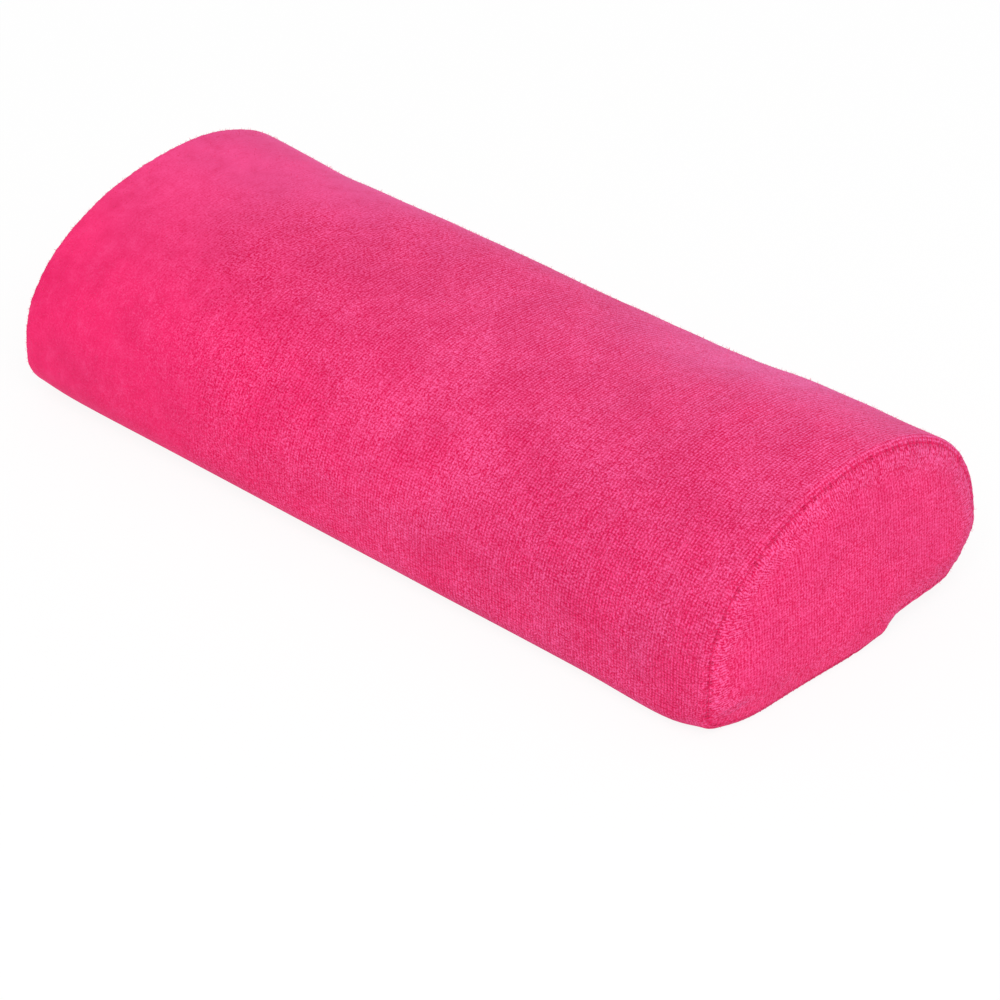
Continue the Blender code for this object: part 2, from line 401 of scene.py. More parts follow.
def inset(points, depth, shrink=1.0):
    """The section set inward by a depth, and then shrunk towards the middle, where it turns into an oval."""
    inward = depth * points[:, 4]
    y = points[:, 0] + points[:, 2] * inward
    z = points[:, 1] + points[:, 3] * inward - HEIGHT / 2
    oval = 1 / np.hypot(y / HALF_WIDTH, z / (HEIGHT / 2))
    size = shrink * (shrink + (1 - shrink) * oval)
    return y * size, HEIGHT / 2 + z * size


# Softness

def smooth_step(value, start, end):
    """From 0 at start to 1 at end, smoothly. start may be the greater one."""
    share = np.clip((value - start) / (end - start), 0, 1)
    return share * share * (3 - 2 * share)


def soften(places):
    """Move places as the soft cushion departs from its plain form: tapered, pressed and slightly uneven."""
    soft = places.copy()
    x, y, z = places.T
    share = x / (FACE_X + END_SWELL)
    height = np.clip((z - LIFTED_ABOVE) / (HEIGHT - LIFTED_ABOVE), 0, 1)
    lift = NEAR_RISE * np.clip(share, 0, 1) ** 2 - FAR_SINK * np.clip(-share, 0, 1) ** 2
    across = np.exp(-((y - SAG_ACROSS[0]) / SAG_ACROSS[1]) ** 2)
    sag = SAG * smooth_step(x, *SAG_FAR) * smooth_step(x, *SAG_NEAR) * across * smooth_step(z, *SAG_UP)
    soft[:, 2] += lift * height - sag
    near_kick = BASE_KICK[1] + (BASE_KICK[2] - BASE_KICK[1]) * smooth_step(y, *KICK_ACROSS)
    kick = np.where(x > 0, near_kick, BASE_KICK[0]) * np.sign(x)
    soft[:, 0] += kick * smooth_step(np.abs(x), *KICK_ALONG) * smooth_step(z, *BASE_DOWN)
    flare = smooth_step(x, *FLARE_ALONG) * smooth_step(y, *FLARE_ACROSS) * smooth_step(z, *BASE_DOWN)
    soft[:, 1] -= FRONT_FLARE * flare
    away = np.column_stack([np.abs(x) - FACE_X, np.abs(y) - HALF_WIDTH, z])
    drawn = np.exp(-(away ** 2).sum(axis=1) / CORNER_REACH ** 2) * np.where(x > 0, 1.0, FAR_CORNER_SHARE)
    towards_middle = np.column_stack([-np.sign(x), -np.sign(y), np.ones(len(z))])
    soft += drawn[:, None] * np.array(CORNER_PULL) * towards_middle
    lap = smooth_step(np.abs(x), *LAP_ALONG) * smooth_step(z, *LAP_DOWN)
    lower = np.clip(1 - z / LAP_STEP, 0, 1) * smooth_step(y, *LOWER_FRONT) * smooth_step(y, *LOWER_REAR)
    upper = smooth_step(z, *UPPER_UP) * smooth_step(y, *UPPER_FRONT) * smooth_step(y, *UPPER_REAR)
    soft[:, 2] += lap * (LAP_EASE[0] * lower - LAP_EASE[1] * upper)
    coarse, fine = UNEVEN_TURNS
    wave = np.array([noise.noise(Vector(place) * coarse) + 0.5 * noise.noise(Vector(place) * fine)
                     for place in places])
    loose = np.clip(z / EVEN_BELOW, 0, 1) * UNEVEN * wave
    soft[:, 1] += loose * np.sign(y) * np.clip(np.abs(y) / HALF_WIDTH, 0, 1)
    soft[:, 2] += loose * height
    return soft


def stitch_places(seed):
    """Places of stitches along an end's seam, slightly uneven, with each one's strength."""
    rng = np.random.default_rng(seed)
    pitch = (STITCH_SPAN[1] - STITCH_SPAN[0]) / STITCH_COUNT
    even = STITCH_SPAN[0] + pitch * (np.arange(STITCH_COUNT) + 0.5)
    return even + rng.uniform(-0.13, 0.13, STITCH_COUNT) * pitch, rng.uniform(0.5, 1.3, STITCH_COUNT)


def stitch_pull(way, stitches):
    """How strongly the nearest stitches pull at each place along the seam, from 0 to about 1."""
    places, strength = stitches
    near = np.exp(-((way[:, None] - places) / DIMPLE_WIDTH) ** 2)
    return near @ strength


def pucker(way, seed):
    """Small gathers along a seam, from -1 to 1."""
    coarse, fine = PUCKER_TURNS
    return np.array([noise.noise(Vector((place * coarse, seed, 0.0)))
                     + 0.6 * noise.noise(Vector((place * fine, seed, 5.0))) for place in way])


# Meshes

def make_object(name, places, faces, uv, seam_uv=None):
    """A mesh object whose UV maps hold distances along the cloth, in metres."""
    mesh = bpy.data.meshes.new(name)
    mesh.from_pydata(places.tolist(), [], faces)
    corners = np.empty(len(mesh.loops), dtype=np.int64)
    mesh.loops.foreach_get("vertex_index", corners)
    for title, values in (("cloth", uv), ("seam", seam_uv)):
        if values is not None:
            layer = mesh.uv_layers.new(name=title)
            layer.data.foreach_set("uv", values[corners].astype(np.float32).ravel())
    mesh.shade_smooth()
    obj = bpy.data.objects.new(name, mesh)
    bpy.context.scene.collection.objects.link(obj)
    return obj


def apply_modifiers(obj):
    """Replace a mesh by what its modifiers make of it."""
    evaluated = obj.evaluated_get(bpy.context.evaluated_depsgraph_get())
    mesh = bpy.data.meshes.new_from_object(evaluated)
    obj.modifiers.clear()
    obj.data = mesh


def thicken(obj):
    """Make a sheet as thick as its cloth, inward from its face."""
    solidify = obj.modifiers.new("Cloth", "SOLIDIFY")
    solidify.thickness = CLOTH_BODY
    solidify.offset = -1.0
    solidify.use_even_offset = False
    bpy.context.view_layer.update()
    apply_modifiers(obj)


def grid_faces(first, rows, columns, closed=False):
    """Faces of a grid of vertices that starts at the index first."""
    spans = columns if closed else columns - 1
    faces = []
    for row in range(rows - 1):
        base = first + row * columns
        for column in range(spans):
            follow = (column + 1) % columns
            faces.append((base + column, base + columns + column, base + columns + follow, base + follow))
    return faces


def wrap_rows(profile, side):
    """The rows of the wrap's fine end band: places, cloth UV, way round it, direction out of the seam."""
    tuck_x = end_round(0.0)[0]
    rows, uvs = [], []
    for (x, depth), along in zip(profile, way_along(profile)):
        points, way = section(front_radius(side * x), WRAP_STEPS, FINER)
        y, z = inset(points, depth)
        hidden = np.minimum(x, tuck_x)
        beyond = max(along - tuck_x, 0.0) * HIDDEN_SPREAD
        place_x = hidden + beyond + (x - hidden - beyond) * points[:, 4]
        rows.append(np.column_stack([side * place_x, y, z]))
        uvs.append(np.column_stack([way, np.full(len(way), side * along)]))
    return np.array(rows), np.array(uvs), way, out_of_seam(points, side)


def way_along(profile):
    """How far each row of the wrap's end band lies from the wrap's middle, along the cloth."""
    return np.concatenate([[0], np.cumsum(np.hypot(*np.diff(profile, axis=0).T))]) + profile[0, 0]


def sew(rows, reach, way, out, stitches, seed, gather):
    """Pull cloth down at its stitches and gather it beside the seam, alike on both sheets.

    reach is each row's or place's distance from the seam, out is the direction out of the seam, and gather
    is how far the gathers run.
    """
    reach = reach.reshape(len(rows), -1)
    above = smooth_step(rows[..., 2], 0.0, 0.010)
    dimple = STITCH_DIMPLE * stitch_pull(way, stitches)[None, :] * np.exp(-(reach / DIMPLE_REACH) ** 2)
    ripple = PUCKER * pucker(way, seed)[None, :] * np.exp(-reach / gather)
    return rows + out[None] * ((ripple - dimple) * (0.25 + 0.75 * above))[..., None]


def hem_groove(places, points_y):
    """Sink the stitched line of the hem into the flap's face."""
    line_y = FLAP_REACH - FOLD_RADIUS - HEM_WIDTH
    near = np.exp(-((points_y - line_y) / HEM_GROOVE_REACH) ** 2) * (places[:, 2] < 0.001)
    places[:, 2] += HEM_GROOVE * near
    return places


def make_wrap(stitches):
    """The wrap: a coarse middle and a threefold finer band at each end, joined by a row of wider faces."""
    profile = wrap_profile()
    stations = np.linspace(-profile[0, 0], profile[0, 0], MIDDLE_STATIONS + 1)
    places, uvs = [], []
    for x in stations:
        points, way = section(front_radius(x), WRAP_STEPS)
        places.append(np.column_stack([np.full(len(points), x), points[:, 0], points[:, 1]]))
        uvs.append(np.column_stack([way, np.full(len(way), x)]))
    columns = len(places[0])
    faces = grid_faces(0, len(stations), columns)
    places, uvs = list(np.concatenate(places)), list(np.concatenate(uvs))
    bands = {}
    for side in (-1, 1):
        rows, band_uv, way, out = wrap_rows(profile, side)
        reach = reach_from_seam(profile)
        rows = sew(rows, reach, way, out, stitches[side], PUCKER_SEED + side, WRAP_GATHER)[1:]
        first = len(places)
        fine = rows.shape[1]
        places += list(rows.reshape(-1, 3))
        uvs += list(band_uv[1:].reshape(-1, 2))
        band = grid_faces(first, len(rows), fine)
        edge = 0 if side < 0 else (len(stations) - 1) * columns
        for column in range(columns - 1):
            fine_edge = range(first + FINER * column, first + FINER * (column + 1) + 1)
            band.append((edge + column, *fine_edge, edge + column + 1))
        faces += [face[::-1] for face in band] if side < 0 else band
        shown = soften(rows.reshape(-1, 3)).reshape(rows.shape)[:-LIP_HIDDEN]
        bands[side] = (shown, reach[1:-LIP_HIDDEN], way)
    places, uvs = np.array(places), np.array(uvs)
    places = hem_groove(places, places[:, 1].copy())
    return make_object("cover_wrap", soften(places), faces, uvs), bands


def make_end(name, side, stitches):
    """An end panel, from inside its seam to the middle of the end."""
    lip = lip_profile(1)[::-1]
    points, way = section(front_radius(side * FACE_X), PANEL_STEPS)
    points, way = points[:-1], way[:-1]
    rows = [(x, *inset(points, depth)) for x, depth in lip]
    edge = np.column_stack(inset(points, SEAM_DEPTH))
    inner = [inset(points, SEAM_DEPTH + depth) for depth in PANEL_INSETS]
    shares = np.linspace(1, 0, PANEL_RINGS + 1)[1:-1]
    inner += [inset(points, SEAM_DEPTH + PANEL_INSETS[-1], share) for share in shares]
    rings = np.array(inner).transpose(0, 2, 1)
    middle = np.array([[0.0, HEIGHT / 2]])
    inside = from_outline(edge, np.vstack([rings.reshape(-1, 2), middle]))
    faces_x = face_x(inside)
    lip_grid = np.array([np.column_stack([np.full(len(y), x), y, z]) for x, y, z in rows])
    face_grid = np.dstack([faces_x[:-1].reshape(rings.shape[:2]), rings])
    grid = np.concatenate([lip_grid, face_grid]) * (side, 1, 1)
    count = grid.shape[1]
    lip_reach = np.tile(reach_from_seam(lip)[:, None], count)
    reach = np.concatenate([lip_reach, inside[:-1].reshape(rings.shape[:2])])
    grid = sew(grid, reach, way, out_of_seam(points, side), stitches, PUCKER_SEED + side, END_GATHER)
    tip = np.array([[side * faces_x[-1], *middle[0]]])
    places = np.vstack([grid.reshape(-1, 3), tip])
    faces = grid_faces(0, len(grid), count, closed=True)
    last = (len(grid) - 1) * count
    faces += [(last + (column + 1) % count, last + column, len(places) - 1) for column in range(count)]
    if side < 0:
        faces = [face[::-1] for face in faces]
    seam_uv = np.column_stack([reach.ravel(), np.tile(way, len(grid))])
    seam_uv = np.vstack([seam_uv, [[inside[-1], 0.0]]])
    places = soften(places)
    obj = make_object(name, places, faces, places[:, [2, 1]], seam_uv)
    return obj, (places[:-1].reshape(grid.shape)[LIP_HIDDEN:], reach.mean(axis=1)[LIP_HIDDEN:], way)


def make_foam():
    """The foam block: the cover's form less its cloth, its end edges rounded."""
    room = CLOTH_BODY + FOAM_ROOM
    rows = []
    start_x, _ = end_round(0.0)
    profile = [(-start_x + 2 * start_x * step / FOAM_STATIONS, 0.0) for step in range(FOAM_STATIONS + 1)]
    turn = [end_round(pi / 2 * step / FOAM_TURN_ROWS) for step in range(1, FOAM_TURN_ROWS + 1)]
    profile = [(-x, depth) for x, depth in turn[::-1]] + profile + turn
    for x, depth in profile:
        points, _ = section(front_radius(x), FOAM_STEPS)
        points[:, 1] = np.maximum(points[:, 1], LAP_STEP + room)
        y, z = inset(points, min(depth, FOAM_ROUNDING) + room)
        rows.append(np.column_stack([np.full(len(y), x - np.sign(x) * room * (depth > 0)), y, z]))
    rows = np.array(rows)
    count = rows.shape[1]
    faces = grid_faces(0, len(rows), count, closed=True)
    faces.append(tuple(range((len(rows) - 1) * count, len(rows) * count))[::-1])
    faces.append(tuple(range(count)))
    places = rows.reshape(-1, 3)
    return make_object("foam_block", soften(places), faces, places[:, :2])


def tube(path, radius, sides=6):
    """Places and faces of a closed round tube along a path, narrowed at its two ends."""
    path = np.array(path)
    along = np.gradient(path, axis=0)
    along /= np.linalg.norm(along, axis=1)[:, None]
    side = np.cross(along, np.array([0.31, 0.87, 0.38]))
    side /= np.linalg.norm(side, axis=1)[:, None]
    up = np.cross(along, side)
    angle = np.linspace(0, 2 * pi, sides, endpoint=False)
    sizes = np.full(len(path), radius)
    sizes[[0, -1]] *= 0.6
    rings = path[:, None] + sizes[:, None, None] * (
        np.cos(angle)[None, :, None] * side[:, None] + np.sin(angle)[None, :, None] * up[:, None])
    faces = grid_faces(0, len(path), sides, closed=True)
    faces.append(tuple(range(sides)))
    faces.append(tuple(range((len(path) - 1) * sides, len(path) * sides))[::-1])
    return rings.reshape(-1, 3), faces


def face_outward(obj):
    """Turn the faces of closed meshes outward."""
    bm = bmesh.new()
    bm.from_mesh(obj.data)
    bmesh.ops.recalc_face_normals(bm, faces=bm.faces)
    bm.to_mesh(obj.data)
    bm.free()


def join_tubes(name, paths, radii):
    """One object of many thread tubes."""
    places, faces, first = [], [], 0
    for path, radius in zip(paths, radii):
        rings, around = tube(path, radius)
        places.append(rings)
        faces += [tuple(first + corner for corner in face) for face in around]
        first += len(rings)
    places = np.vstack(places)
    obj = make_object(name, places, faces, places[:, :2])
    face_outward(obj)
    return obj


def on_band(band, way, reach):
    """The place on a band of cloth at a distance round the seam and a distance from it."""
    rows, reaches, ways = band
    order = np.argsort(reaches)
    row = order[np.searchsorted(reaches[order], reach).clip(0, len(order) - 1)]
    return np.array([np.interp(way, ways, rows[row, :, axis]) for axis in range(3)])


def make_seam_thread(name, wrap_band, panel_band, stitches):
    """Short slanting stitches that cross the seam from the wrap to the panel, and the thread along it."""
    paths = []
    places, _ = stitches
    first, last = SEWN_COLUMNS
    inside = (places > wrap_band[2][first]) & (places < wrap_band[2][last])
    cord = []
    for way in np.arange(places[inside][0], places[inside][-1], CORD_STEP):
        middle = (on_band(wrap_band, way, 0.0004) + on_band(panel_band, way, 0.0004)) / 2
        down = np.array([0.0, 0.0, HEIGHT / 2]) - middle
        cord.append(middle + down / np.linalg.norm(down) * (CORD_RADIUS + 0.00005))
    for way in places[inside]:
        start = on_band(wrap_band, way - STITCH_SLANT, STITCH_REACH)
        end = on_band(panel_band, way + STITCH_SLANT, STITCH_REACH)
        middle = (start + end) / 2
        down = np.array([0.0, 0.0, HEIGHT / 2]) - middle
        down /= np.linalg.norm(down)
        paths.append([start + down * STITCH_DEPTH, start, middle + down * 0.00015, end,
                      end + down * STITCH_DEPTH])
    return join_tubes(name, [cord] + paths, [CORD_RADIUS] + [THREAD_RADIUS] * len(paths))


def make_hem_thread():
    """The row of stitches that holds the flap's turned-in hem."""
    line_y = FLAP_REACH - FOLD_RADIUS - HEM_WIDTH
    reach = FACE_X - ROUND_LENGTH - 0.001
    count = int(2 * reach / HEM_STITCH)
    paths = []
    for index in range(count):
        x = -reach + (index + 0.5) * 2 * reach / count
        half = HEM_STITCH * 0.42
        paths.append([(x - half, line_y, 0.0007), (x - half * 0.8, line_y, 0.00035), (x, line_y, 0.0003),
                      (x + half * 0.8, line_y, 0.00035), (x + half, line_y, 0.0007)])
    return join_tubes("hem_thread", paths, [THREAD_RADIUS] * len(paths))


def make_fuzz(name, sheet, count, seed):
    """Loose fibres on a sheet's outer face, as one object of short bent spikes with closed ends."""
    rng = np.random.default_rng(seed)
    mesh = sheet.data
    corners = np.array([face.vertices[:4] for face in mesh.polygons if len(face.vertices) == 4])
    places = np.array([vertex.co for vertex in mesh.vertices])[corners]
    across = np.cross(places[:, 2] - places[:, 0], places[:, 3] - places[:, 1])
    area = np.linalg.norm(across, axis=1)
    normal = across / np.maximum(area, 1e-15)[:, None]
    far = smooth_step(places[:, :, 0].mean(axis=1), *FUZZY_END)
    shown = area * (normal[:, 2] > -0.5) * (1 + FUZZIER * far)
    chosen = rng.choice(len(corners), count, p=shown / shown.sum())
    u, v = rng.uniform(0, 1, (2, count, 1))
    a, b, c, d = (places[chosen, corner] for corner in range(4))
    root = (1 - v) * ((1 - u) * a + u * b) + v * ((1 - u) * d + u * c)
    out = normal[chosen]
    lean = rng.normal(0, 0.75, (count, 3))
    length = rng.uniform(*FIBRE_LENGTH, (count, 1))
    way = out + lean
    way /= np.linalg.norm(way, axis=1)[:, None]
    way += out * np.maximum(0.15 - (way * out).sum(axis=1), 0)[:, None]
    bend = np.cross(way, rng.normal(0, 1, (count, 3)))
    bend /= np.linalg.norm(bend, axis=1)[:, None]
    other = np.cross(way, bend)
    start = root - out * FIBRE_ROOT
    middle = root + way * length * 0.5 + bend * length * 0.12
    tip = root + way * length - bend * length * 0.10
    turn = (np.arange(3) * 2 * pi / 3)[None, :, None]
    ring = FIBRE_RADIUS * (np.cos(turn) * bend[:, None] + np.sin(turn) * other[:, None])
    points = np.concatenate([start[:, None] + ring, middle[:, None] + ring * 0.85, tip[:, None]], axis=1)
    pattern = [(0, 2, 1), (0, 1, 4, 3), (1, 2, 5, 4), (2, 0, 3, 5), (3, 4, 6), (4, 5, 6), (5, 3, 6)]
    faces = [tuple(7 * index + corner for corner in face) for index in range(count) for face in pattern]
    points = points.reshape(-1, 3)
    return make_object(name, points, faces, points[:, :2])


# Materials

class Graph:
    """Short names for building a material's nodes."""

    def __init__(self, name):
        self.material = bpy.data.materials.new(name)
        self.material.use_nodes = True
        self.nodes = self.material.node_tree.nodes
        self.links = self.material.node_tree.links
        self.shader = self.nodes["Principled BSDF"]

    def add(self, kind, inputs=None, **settings):
        node = self.nodes.new(kind)
        for name, value in settings.items():
            setattr(node, name, value)
        for name, value in (inputs or {}).items():
            self.feed(node.inputs[name], value)
        return node

    def feed(self, socket, value):
        if isinstance(value, bpy.types.NodeSocket):
            self.links.new(value, socket)
        else:
            socket.default_value = value

    def math(self, operation, *values, clamp=False):
        node = self.add("ShaderNodeMath", operation=operation, use_clamp=clamp)
        for socket, value in zip(node.inputs, values):
            self.feed(socket, value)
        return node.outputs[0]

    def vector(self, operation, *values):
        node = self.add("ShaderNodeVectorMath", operation=operation)
        for socket, value in zip(node.inputs, values):
            self.feed(socket, value)
        return node.outputs[0]

    def mix(self, share, first, second):
        """Between two colours."""
        node = self.add("ShaderNodeMix", data_type="RGBA")
        self.feed(node.inputs[0], share)
        self.feed(node.inputs[6], first)
        self.feed(node.inputs[7], second)
        return node.outputs[2]

    def blend(self, share, first, second):
        """Between two numbers."""
        node = self.add("ShaderNodeMix", data_type="FLOAT")
        self.feed(node.inputs[0], share)
        self.feed(node.inputs[2], first)
        self.feed(node.inputs[3], second)
        return node.outputs[0]

    def ramp(self, value, low, high, to_low=0.0, to_high=1.0):
        """A smooth step from one number to another."""
        node = self.add("ShaderNodeMapRange", interpolation_type="SMOOTHSTEP")
        for socket, number in zip(node.inputs, (value, low, high, to_low, to_high)):
            self.feed(socket, number)
        return node.outputs[0]

    def noise(self, place, size, detail=2.0, stretch=None):
        """Noise whose features are about this size, in metres."""
        if stretch:
            place = self.vector("MULTIPLY", place, stretch)
        node = self.add("ShaderNodeTexNoise", {"Vector": place, "Scale": 1 / size, "Detail": detail})
        return node

    def uv(self, name):
        return self.add("ShaderNodeUVMap", uv_map=name).outputs[0]

    def place(self):
        return self.add("ShaderNodeTexCoord").outputs["Object"]

    def split(self, place):
        """The X, Y and Z of a place."""
        return self.add("ShaderNodeSeparateXYZ", {"Vector": place}).outputs

    def times(self, *values):
        """The product of several numbers."""
        product = values[0]
        for value in values[1:]:
            product = self.math("MULTIPLY", product, value)
        return product

    def bump(self, height, strength, distance):
        """Give the surface a relief."""
        node = self.add("ShaderNodeBump", {"Strength": strength, "Distance": distance, "Height": height})
        self.feed(self.shader.inputs["Normal"], node.outputs[0])


def loops(graph, place, pitch, uneven, ribbed):
    """A field of yarn loops in rows: how high each place stands, and a random number for each loop."""
    wander = graph.vector("SUBTRACT", graph.noise(place, WANDER_SIZE).outputs[1], (0.5, 0.5, 0.5))
    moved = graph.vector("MULTIPLY_ADD", wander, (WANDER, WANDER, 0.0), place)
    scaled = graph.vector("MULTIPLY", moved, (1 / pitch[0], 1 / pitch[1], 1.0))
    cells = graph.add("ShaderNodeTexVoronoi", {"Vector": scaled, "Scale": 1.0, "Randomness": uneven},
                      voronoi_dimensions="2D", feature="F1")
    blob = graph.ramp(cells.outputs["Distance"], 0.62, 0.20)
    wave = graph.math("COSINE", graph.times(graph.split(scaled)[1], 2 * pi))
    rib = graph.math("MULTIPLY_ADD", wave, -0.5, 0.5)
    height = graph.math("ADD", graph.times(blob, 1 - ribbed), graph.times(rib, ribbed))
    chance = graph.add("ShaderNodeSeparateColor", {"Color": cells.outputs["Color"]}).outputs[0]
    return height, chance


def stitch_shade(graph, way, reach):
    """The dark between stitches along a seam, stronger at some of them, from 0 to 1."""
    place = graph.add("ShaderNodeCombineXYZ", {"X": way})
    wander = graph.noise(place.outputs[0], 0.004).outputs[0]
    spans = STITCH_COUNT / (STITCH_SPAN[1] - STITCH_SPAN[0])
    turns = graph.math("MULTIPLY_ADD", way, spans, -STITCH_SPAN[0] * spans)
    turns = graph.math("MULTIPLY_ADD", wander, 0.5, graph.math("SUBTRACT", turns, 0.25))
    off = graph.math("ABSOLUTE", graph.math("SUBTRACT", graph.math("FRACT", turns), 0.5))
    between = graph.ramp(off, 0.16, 0.34)
    strong = graph.ramp(graph.noise(place.outputs[0], 0.005).outputs[0], 0.42, 0.62, 0.15, 1.0)
    close = graph.ramp(reach, 0.0010, 0.0004)
    return graph.times(between, strong, close)


def end_zones(graph, cloth, height, chance, loose, patchy):
    """How an end panel's cloth varies: its loops fan out in a ragged band along the seam."""
    up = graph.split(cloth)[0]
    seam = graph.uv("seam")
    fan, fan_chance = loops(graph, seam, FAN_PITCH, 0.75, 0.45)
    reach, way = graph.split(seam)[:2]
    ragged = graph.math("MULTIPLY_ADD", graph.noise(cloth, 0.008).outputs[0], 0.010, reach)
    edge = graph.times(graph.ramp(ragged, *FAN_BAND), graph.ramp(up, *FAN_UP))
    crisp = graph.times(patchy, graph.blend(edge, 0.41, 1.0))
    return {
        "way": way, "reach": reach, "crisp": crisp,
        "height": graph.blend(edge, graph.blend(0.30, height, loose), fan),
        "chance": graph.blend(edge, chance, fan_chance),
        "grain": graph.math("MULTIPLY_ADD", crisp, 0.50, 0.30),
        # a little painted sheen, paler pink, over the whole end panel
        "felted": 0.0, "painted_sheen": 0.26, "painted_rim_sheen": 0.0, "deeper": 0.0,
    }


def wrap_zones(graph, cloth, height, chance, loose, patchy):
    """How the wrap's cloth varies: smooth at the far end, looped at the near one, with painted sheen over
    the crown.
    """
    way, along = graph.split(cloth)[:2]
    seam_along = float(way_along(wrap_profile())[-LIP_HIDDEN - 1]) + LIP_RADIUS
    on_top = graph.times(graph.ramp(way, *CRISP_FRONT), graph.ramp(way, *CRISP_REAR))
    return {
        "way": way, "chance": chance,
        "reach": graph.math("SUBTRACT", seam_along, graph.math("ABSOLUTE", along)),
        "crisp": graph.times(patchy, graph.ramp(graph.math("ADD", along, on_top), *CRISP_ALONG)),
        "height": graph.blend(graph.ramp(along, *LOOSE_ALONG), height, loose),
        "grain": graph.times(patchy, graph.ramp(along, *GRAIN_ALONG)),
        "felted": graph.ramp(along, *FELTED_ALONG),
        "painted_sheen": graph.times(graph.ramp(way, *PAINTED_SHEEN_FRONT), graph.ramp(way, *PAINTED_SHEEN_REAR),
                            graph.ramp(along, *PAINTED_SHEEN_ALONG)),
        "painted_rim_sheen": graph.times(graph.ramp(along, *RIM_SHEEN_ALONG), graph.ramp(way, *RIM_SHEEN_TOP),
                            graph.ramp(along, *RIM_SHEEN_NEAR)),
        "deeper": graph.times(graph.ramp(along, *DEEPER_ALONG), graph.ramp(way, *DEEPER_FRONT)),
    }


def make_towelling(name, with_seam):
    """Looped pink towelling. Its loops stand in rows, and are brushed over in patches and at the far end."""
    graph = Graph(name)
    cloth = graph.uv("cloth")
    uneven, ribbed = (0.20, 0.62) if with_seam else (0.40, 0.44)
    height, chance = loops(graph, cloth, LOOP_PITCH, uneven, ribbed)
    patches = graph.noise(cloth, PATCH_SIZE, 4.0).outputs[0]
    patchy = graph.math("MULTIPLY_ADD", graph.ramp(patches, 0.32, 0.64), 0.45, 0.55)
    loose = graph.ramp(graph.noise(cloth, LOOSE_SIZE, 2.0).outputs[0], 0.36, 0.64)
    zones = (end_zones if with_seam else wrap_zones)(graph, cloth, height, chance, loose, patchy)
    height, crisp, painted_rim_sheen, deeper = (zones[key] for key in ("height", "crisp", "painted_rim_sheen", "deeper"))
    fibres = graph.noise(cloth, FIBRE_SIZE, 2.0).outputs[0]
    fluff = graph.noise(cloth, FLUFF_SIZE, 3.0).outputs[0]
    felt = graph.noise(cloth, FELT_SIZE, 3.0).outputs[0]
    streaks = graph.noise(cloth, STREAK_SIZE, 2.0, (0.35, 1.0, 1.0)).outputs[0]
    mottle = graph.noise(cloth, MOTTLE_SIZE, 4.0).outputs[0]

    # Painted sheen: paler pink over the crown's top and rear, and a little over the end panels
    colour = graph.mix(zones["painted_sheen"], graph.mix(zones["felted"], PINK, PINK_FELT), PINK_PAINTED_SHEEN)
    # Painted shade in the hollows between loops, deeper at the front of the near end and paler under the
    # painted rim sheen
    hollow = graph.math("SUBTRACT", 1.0, height, clamp=True)
    depth = graph.times(crisp, graph.math("MULTIPLY_ADD", deeper, 3.0, 7.0))
    shade = graph.math("MULTIPLY", graph.math("POWER", hollow, 1.9), depth, clamp=True)
    deep = graph.mix(painted_rim_sheen, graph.mix(deeper, PINK_DEEP, STITCH_DARK), PINK_PAINTED_SHEEN)
    colour = graph.mix(shade, colour, deep)
    # Painted highlight on the loops' tops, of random strength for each loop, weaker at the front of the near
    # end and paler under the painted rim sheen
    lit = graph.math("MULTIPLY_ADD", zones["chance"], 0.62, 0.36)
    tip = graph.times(height, crisp, lit, graph.math("MULTIPLY_ADD", deeper, -0.55, 1.0))
    colour = graph.mix(tip, colour, graph.mix(painted_rim_sheen, PINK_TIP, PINK_PAINTED_RIM_SHEEN))
    for value, near, far in ((fibres, 0.14, 1.0), (fluff, 0.22, 0.60)):
        for turn, most, pink in ((near, far, PINK_TIP), (-near, 0.9 * far, PINK_DEEP)):
            share = graph.times(graph.ramp(value, 0.5, 0.5 + turn, 0.0, most), zones["grain"])
            colour = graph.mix(share, colour, pink)
    for value, most_at, most, pink in ((felt, 0.72, 0.10, PINK_TIP), (felt, 0.28, 0.16, PINK_DEEP),
                                       (streaks, 0.25, 0.14, PINK_DEEP)):
        colour = graph.mix(graph.ramp(value, 0.5, most_at, 0.0, most), colour, pink)
    stitched = graph.times(stitch_shade(graph, zones["way"], zones["reach"]), 0.8)
    colour = graph.mix(stitched, colour, STITCH_DARK)
    tint = graph.ramp(mottle, 0.3, 0.7, 0.955, 1.04)
    tinted = graph.add("ShaderNodeHueSaturation", {"Value": tint, "Color": colour})
    graph.feed(graph.shader.inputs["Base Color"], tinted.outputs[0])

    loops_high = graph.times(height, graph.math("MULTIPLY_ADD", crisp, 0.85, 0.15))
    nap = graph.math("MULTIPLY_ADD", fibres, 0.30, graph.times(fluff, 0.4))
    graph.bump(graph.math("ADD", loops_high, nap), 0.6, 0.00035)
    finish_fabric(graph, roughness=0.95)
    return graph.material


def finish_fabric(graph, roughness):
    """The even values of a matt cloth with a soft sheen, set on the shader itself."""
    inputs = graph.shader.inputs
    inputs["Roughness"].default_value = roughness
    inputs["Specular IOR Level"].default_value = 0.03
    inputs["Sheen Weight"].default_value = 0.26
    inputs["Sheen Roughness"].default_value = 0.36
    inputs["Sheen Tint"].default_value = SHEEN_PINK


def make_thread_material():
    """Twisted sewing thread."""
    graph = Graph("seam_thread")
    twist = graph.noise(graph.place(), 0.0003, 2.0).outputs[0]
    shade = graph.ramp(twist, 0.35, 0.65)
    graph.feed(graph.shader.inputs["Base Color"], graph.mix(shade, THREAD_PINK, PINK_DEEP))
    graph.bump(twist, 0.5, 0.0001)
    finish_fabric(graph, roughness=0.8)
    return graph.material


